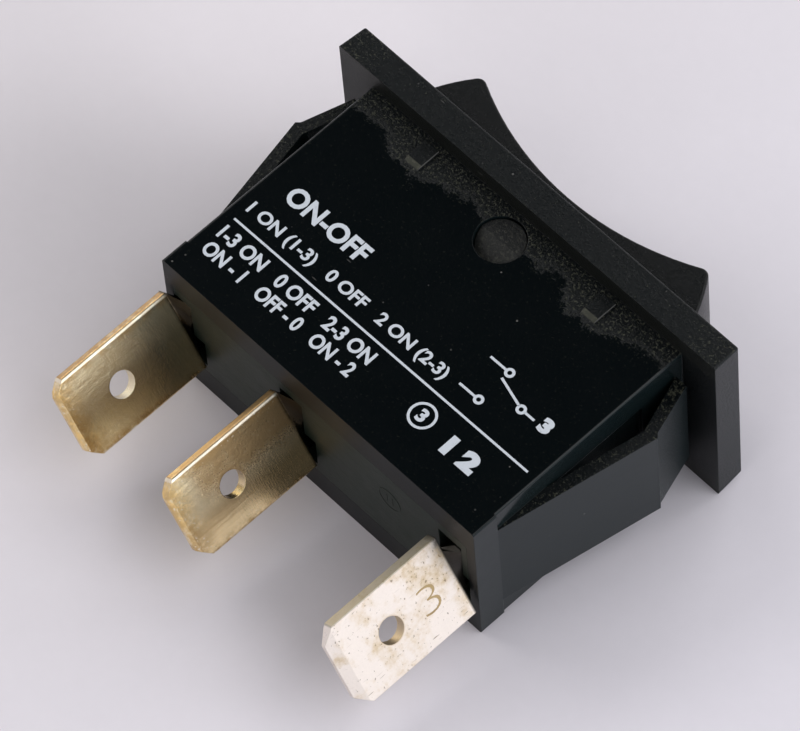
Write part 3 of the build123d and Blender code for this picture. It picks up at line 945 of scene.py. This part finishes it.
@dataclass
class Mouldings:
    """The plastic parts: housing, base plate and rocker."""

    switch: Switch
    mark_radius: float = 1.0 * MM
    mark_rim: float = 0.1 * MM
    mark_height: float = 0.04 * MM
    mark_bar: Pair = (0.1 * MM, 0.8 * MM)
    mark_pitch: float = 0.5 * MM
    mark_x: float = -6.3 * MM
    mark_z: float = 1.0 * MM

    def build(self) -> None:
        """Dress the mouldings and add the mould mark."""
        sizes = self.switch.body_half_length / MM, self.switch.wall_top / MM
        housing = HousingNylon("housing_nylon", *sizes).build()
        plate = PlateNylon("plate_nylon").build()
        dress(frame["nodes"]["housing"], housing)
        dress(frame["nodes"]["base_plate"], plate)
        dress(frame["nodes"]["rocker"], RockerNylon("rocker_nylon").build())
        self.mould_mark(plate)

    def mould_mark(self, material: Material) -> None:
        """A faint raised ring with two bars in it, on the terminal face.

        Args:
            material: The base plate's material.
        """
        ring = ring_mesh("mark_ring", self.mark_radius - self.mark_rim, self.mark_radius, self.mark_height)
        length, width = self.mark_bar
        bars = bar_row_recipe().bake("mark_bars", {
            "Count": 2, "Pitch": self.mark_pitch, "Length": length, "Width": width,
            "Thickness": self.mark_height, "Material": material,
        })
        settle(bars, Matrix.Translation((-self.mark_pitch / 2, 0, 0)))
        mark = join("mould_mark", [ring, bars])
        turn = Matrix(((1, 0, 0), (0, 0, 1), (0, -1, 0))).to_4x4()
        place = Matrix.Translation((self.mark_x, self.switch.terminal_face, self.mark_z))
        settle(mark, place @ turn)
        dress(mark, material)
        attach(mark, Body.HOUSING.value)
        LOG.info("mould_mark on %s", Body.HOUSING.value)


@dataclass
class Terminals:
    """The three blades: two of tarnished brass and one silver-plated."""

    switch: Switch
    strip: float = 0.8 * MM
    stamp_height: float = 2.0 * MM
    stamp_width: float = 1.44 * MM
    stamp_thinning: float = 0.05 * MM
    stamp_thickness: float = 0.012 * MM
    stamp_proud: float = 0.004 * MM
    stamp_from_hole: float = 3.23 * MM
    stamp_across: float = -0.07 * MM
    stain_shift: float = 3.7

    def build(self) -> None:
        """Dress the terminals."""
        for index, (name, bend_and_painted_shade) in enumerate((("terminal_upper", 0.0), ("terminal_lower", 0.55))):
            stains = self.stain_shift * index
            finish = TarnishedBrass(f"{name}_brass", *self.axes(name), seed=stains, bend_and_painted_shade=bend_and_painted_shade)
            dress(frame["nodes"][name], finish.build())
        name = "terminal_common"
        dress(frame["nodes"][name], StainedSilver("terminal_silver", *self.axes(name)).build())
        self.stamped_number(name)

    def axes(self, name: str) -> tuple[Vector, Vector, float]:
        """A blade's middle on the terminal face, its hole and its twist."""
        return self.switch.centres[name], self.switch.holes[name], self.switch.twist

    def stamped_number(self, name: str) -> None:
        """The terminal's number, stamped in thin lines between the hole and the shoulders.

        Args:
            name: The terminal's node.
        """
        stain = InnerMetal("stamp_stain", (0.44, 0.33, 0.17), (0.24, 0.17, 0.08), 0.35).build()
        width, height = self.stamp_width, self.stamp_height
        made = text_mesh("stamp", "3", height, -self.stamp_thinning, self.stamp_thickness, (width, height))
        settle(made, Matrix.Translation((-width / 2, -height / 2, 0)))
        letters = Matrix(((0, 0, -1), (-1, 0, 0), (0, 1, 0))).to_4x4()
        face = -(self.strip / 2 + self.stamp_proud)
        lift = Matrix.Translation((face, -self.stamp_from_hole, self.stamp_across))
        turn = Matrix.Rotation(self.switch.twist, 4, "Y")
        settle(made, Matrix.Translation(self.switch.holes[name]) @ turn @ lift @ letters)
        dress(made, stain)
        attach(made, Body.HOUSING.value)
        LOG.info("stamp on %s", name)


@dataclass
class Mechanism:
    """What moves behind the walls: plunger, spring, lever and contacts."""

    wire: float = 0.15 * MM
    turns: float = 4.5
    coil_ends: float = 0.39 * MM

    def build(self) -> None:
        """Dress the hidden parts and wind the spring."""
        silver = InnerMetal("contact_silver", (0.85, 0.84, 0.82), (0.5, 0.47, 0.43), 0.25).build()
        copper = InnerMetal("lever_copper", (0.8, 0.5, 0.3), (0.45, 0.24, 0.12), 0.28).build()
        steel = InnerMetal("spring_steel", (0.55, 0.55, 0.56), (0.3, 0.29, 0.28), 0.25, 6.0).build()
        for name in ("moving_contact", "fixed_contact_upper", "fixed_contact_lower"):
            dress(frame["nodes"][name], silver)
        dress(frame["nodes"]["contact_lever"], copper)
        dress(frame["nodes"]["plunger"], Acetal("plunger_acetal").build())
        self.spring(steel)

    def spring(self, steel: Material) -> None:
        """Round wire in the place of the node's six-sided one.

        Args:
            steel: The wire's material.
        """
        low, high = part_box("plunger_spring")
        radius = (high.x - low.x) / 2 - self.wire
        height = high.y - low.y - self.coil_ends
        coil = coil_recipe().bake("wound_spring", {
            "Turns": self.turns, "Radius": radius, "Height": height, "Wire": self.wire, "Material": steel,
        })
        middle = (low + high) / 2
        turn = Matrix.Rotation(-math.pi / 2, 4, "X")
        settle(coil, Matrix.Translation((middle.x, middle.y - height / 2, middle.z)) @ turn)
        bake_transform(coil)
        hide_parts("plunger_spring")
        LOG.info("wound_spring between %s and %s", Body.ROCKER.value, Body.PLUNGER.value)


@dataclass
class Line:
    """One line of lettering: its words, and its ends, foot, height and weight in the print's frame."""

    words: str
    left: float
    right: float
    foot: float
    height: float
    weight: float


@dataclass
class Print:
    """White print on the broad wall: position words, terminal numbers and a contact diagram.

    Its frame is in millimetres, with X towards +X and Y away from the bezel, and it is turned a
    little on the wall.
    """

    switch: Switch
    thickness: float = 0.02 * MM
    tilt: float = 0.0096
    rule_y: float = 12.81
    rule_left: float = 13.1
    rule_right: float = -13.3
    rule_width: float = 0.16
    stroke: float = 0.17
    lines: tuple[Line, ...] = (
        Line("ON-OFF", 12.0, 5.05, 9.72, 1.48, 0.05),
        Line("1 ON (1-3)   0 OFF   2 ON (2-3)", 13.05, -4.75, 12.2, 1.25, 0.035),
        Line("1-3 ON   0 OFF   2-3 ON", 13.05, -0.65, 14.5, 1.12, 0.035),
        Line("ON - 1   OFF - 0   ON - 2", 12.95, -0.4, 15.98, 1.12, 0.035),
        Line("1 2", -8.2, -10.9, 15.6, 1.5, 0.11),
        Line("3", -11.35, -12.2, 10.3, 1.15, 0.08),
    )
    ring_at: Pair = (-5.75, 14.55)
    ring_radii: Pair = (0.8, 0.98)
    ringed_size: Pair = (0.62, 1.0)
    ringed_font: float = 1.1
    ringed_weight: float = 0.05
    dots: tuple[Pair, ...] = ((-7.4, 8.6), (-7.4, 11.3), (-9.8, 9.95))
    dot_radii: Pair = (0.16, 0.36)
    leads: tuple[tuple[Pair, Pair], ...] = (
        ((-5.7, 8.6), (-7.05, 8.6)),
        ((-5.7, 11.3), (-7.05, 11.3)),
        ((-10.15, 9.95), (-10.95, 9.95)),
        ((-9.5, 9.85), (-7.3, 9.2)),
    )

    def build(self) -> None:
        """Print the lines, the rule, the ringed number and the diagram."""
        ink = Ink("white_ink").build()
        for number, line in enumerate(self.lines, 1):
            self.lay([self.letters(line)], f"print_line_{number}", ink)
        ends = (self.rule_left, self.rule_y), (self.rule_right, self.rule_y)
        self.lay([self.bar(ink, *ends, self.rule_width)], "print_rule", ink)
        self.lay(self.ringed_number(), "print_ringed_number", ink)
        self.lay(self.diagram(ink), "print_diagram", ink)

    def at(self, x: float, y: float) -> Matrix:
        """The place on the wall of a point of the print's frame, with letters reading towards -X."""
        point = Vector((x * MM, (y + self.tilt * x) * MM, self.switch.wall_top + self.thickness / 2))
        return Matrix.Translation(point) @ Matrix.Rotation(math.pi + math.atan(self.tilt), 4, "Z")

    def lay(self, parts: list[Piece], name: str, ink: Material) -> None:
        """Join the parts of one print, dress it and let it ride on the housing.

        Args:
            parts: Its meshes.
            name: The piece's name.
            ink: Its material.
        """
        piece = join(name, parts)
        dress(piece, ink)
        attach(piece, Body.HOUSING.value)
        LOG.info("%s on %s", name, Body.HOUSING.value)

    def letters(self, line: Line) -> Piece:
        """One line of words, fitted between its ends and to its height.

        Args:
            line: The line.

        Returns:
            Its mesh object.
        """
        box = ((line.left - line.right) * MM, line.height * MM)
        made = text_mesh("words", line.words, line.height * MM, line.weight * MM, self.thickness, box)
        return settle(made, self.at(line.left, line.foot))

    def ring(self, radii: Pair, x: float, y: float) -> Piece:
        """A ring of ink round a point of the print's frame."""
        inner, outer = radii
        return settle(ring_mesh("ring", inner * MM, outer * MM, self.thickness), self.at(x, y))

    def bar(self, ink: Material, start: Pair, end: Pair, width: float) -> Piece:
        """A straight stroke of ink.

        Args:
            ink: Its material.
            start: Where it begins, in the print's frame.
            end: Where it ends.
            width: How wide it is, in millimetres.

        Returns:
            The stroke.
        """
        run, rise = end[0] - start[0], end[1] - start[1]
        values = {"Count": 1, "Pitch": 0.0, "Length": math.hypot(run, rise) * MM, "Width": width * MM}
        made = bar_row_recipe().bake("bar", values | {"Thickness": self.thickness, "Material": ink})
        middle = self.at((start[0] + end[0]) / 2, (start[1] + end[1]) / 2)
        return settle(made, middle @ Matrix.Rotation(math.atan2(rise, run), 4, "Z"))

    def ringed_number(self) -> list[Piece]:
        """A number in a ring.

        Returns:
            The ring and the number.
        """
        x, y = self.ring_at
        width, height = self.ringed_size
        size, weight = self.ringed_font * MM, self.ringed_weight * MM
        number = text_mesh("number", "3", size, weight, self.thickness, (width * MM, height * MM))
        settle(number, self.at(x + width / 2, y + height / 2))
        return [self.ring(self.ring_radii, x, y), number]

    def diagram(self, ink: Material) -> list[Piece]:
        """The changeover sign: two fixed contacts, a moving one and its common point.

        Args:
            ink: Its material.

        Returns:
            Its rings and strokes.
        """
        rings = [self.ring(self.dot_radii, x, y) for x, y in self.dots]
        return rings + [self.bar(ink, start, end, self.stroke) for start, end in self.leads]


# --- Studio ---
@dataclass(frozen=True)
class Lamp:
    """A square soft lamp: where it stands from the switch, its side, watts and colour."""

    name: str
    toward: Triple
    distance: float
    size: float
    power: float
    tint: Colour


@dataclass
class Studio:
    """Table, lamps, backdrop and camera."""

    switch: Switch
    eye: Triple = (-0.199253, 0.171395, 0.436914)
    right: Triple = (-0.68921, -0.72286, -0.04956)
    forward: Triple = (0.39472, -0.31723, -0.8623)
    lens: float = 360.0
    sensor: float = 36.0
    nearest: float = 0.01
    farthest: float = 20.0
    table_size: float = 6.0
    backdrop: Colour = (0.72, 0.70, 0.74)
    horizon: Colour = (0.36, 0.355, 0.37)
    mirrored_horizon: Colour = (0.95, 0.935, 0.95)
    ceiling: Colour = (0.02, 0.021, 0.023)
    ceiling_start: float = 0.08
    ceiling_full: float = 0.5
    lit_point: Triple = (0.0, 0.01, 0.0)
    lamps: tuple[Lamp, ...] = (
        Lamp("key", (-0.78, -0.25, 0.68), 0.9, 1.0, 6.5, (0.97, 0.98, 1.0)),
        Lamp("far_side", (0.85, 0.05, 0.6), 1.0, 0.8, 4.9, (1.0, 0.99, 0.975)),
        Lamp("blade_side", (0.1, 0.9, 0.9), 1.0, 0.8, 2.9, (1.0, 0.99, 0.98)),
        Lamp("key_side", (0.1, -0.9, 0.6), 1.0, 0.8, 3.8, (0.99, 0.99, 1.0)),
    )

    def build(self) -> None:
        """Set up everything that isn't the switch."""
        self.table()
        self.world()
        for lamp in self.lamps:
            self.light(lamp)
        self.camera()
        bpy.context.scene.view_settings.view_transform = "Standard"

    def table(self) -> None:
        """The surface under the bezel's lower edge and the foot's lower corner."""
        bezel_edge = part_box("housing")[0].z
        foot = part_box("base_plate")[1].y
        slope = math.atan2(-self.switch.wall_top - bezel_edge, foot)
        half = self.table_size / 2
        corners = [(-half, -half, 0), (half, -half, 0), (half, half, 0), (-half, half, 0)]
        mesh = bpy.data.meshes.new("table")
        mesh.from_pydata(corners, [], [(0, 1, 2, 3)])
        table = add_object("table", mesh)
        settle(table, Matrix.Translation((0, 0, bezel_edge)) @ Matrix.Rotation(slope, 4, "X"))
        right = Vector(self.right)
        up = -right.cross(Vector(self.forward))
        dress(table, TableTop("table_paper", (right + up).normalized()).build())

    def world(self) -> None:
        """A plain backdrop; round it a pale horizon, brighter in polished metal, and a dark ceiling."""
        world = bpy.data.worlds.new("room")
        bpy.context.scene.world = world
        world.use_nodes = True
        room = NodeTree(world.node_tree)
        room.tree.nodes.clear()
        height = room.split(room.node("ShaderNodeTexCoord").outputs["Generated"])[2]
        path = room.node("ShaderNodeLightPath").outputs
        low = room.blend(path["Is Glossy Ray"], self.horizon, self.mirrored_horizon)
        around = room.blend(height.step(self.ceiling_start, self.ceiling_full), low, self.ceiling)
        seen = room.blend(path["Is Camera Ray"], around, self.backdrop)
        shade = room.node("ShaderNodeBackground", None, {"Color": seen})
        room.node("ShaderNodeOutputWorld", None, {"Surface": shade.outputs[0]})

    def light(self, lamp: Lamp) -> None:
        """Place a lamp so that it faces the switch.

        Args:
            lamp: The lamp.
        """
        light = bpy.data.lights.new(lamp.name, "AREA")
        light.shape = "SQUARE"
        light.size = lamp.size
        light.energy = lamp.power
        light.color = lamp.tint
        made = add_object(lamp.name, light)
        direction = Vector(lamp.toward).normalized()
        turn = direction.to_track_quat("Z", "Y").to_matrix().to_4x4()
        point = Vector(self.lit_point) + direction * lamp.distance
        made.matrix_world = Matrix.Translation(point) @ turn

    def camera(self) -> None:
        """Stand the camera at its eye point."""
        lens = bpy.data.cameras.new("camera")
        lens.lens = self.lens
        lens.sensor_width = self.sensor
        lens.sensor_fit = "HORIZONTAL"
        lens.clip_start = self.nearest
        lens.clip_end = self.farthest
        camera = add_object("camera", lens)
        back = -Vector(self.forward).normalized()
        side = Vector(self.right).normalized()
        up = back.cross(side)
        turn = Matrix((side, up, back)).transposed().to_4x4()
        camera.matrix_world = Matrix.Translation(self.eye) @ turn
        bpy.context.scene.camera = camera


def main() -> None:
    """Build the studio and dress the switch."""
    logging.basicConfig(level=logging.INFO, format="%(name)s: %(message)s")
    switch = Switch()
    Studio(switch).build()
    for section in (Mouldings(switch), Terminals(switch), Mechanism(), Print(switch)):
        section.build()
        LOG.info("%s dressed", type(section).__name__)


if __name__ == "__main__":
    main()
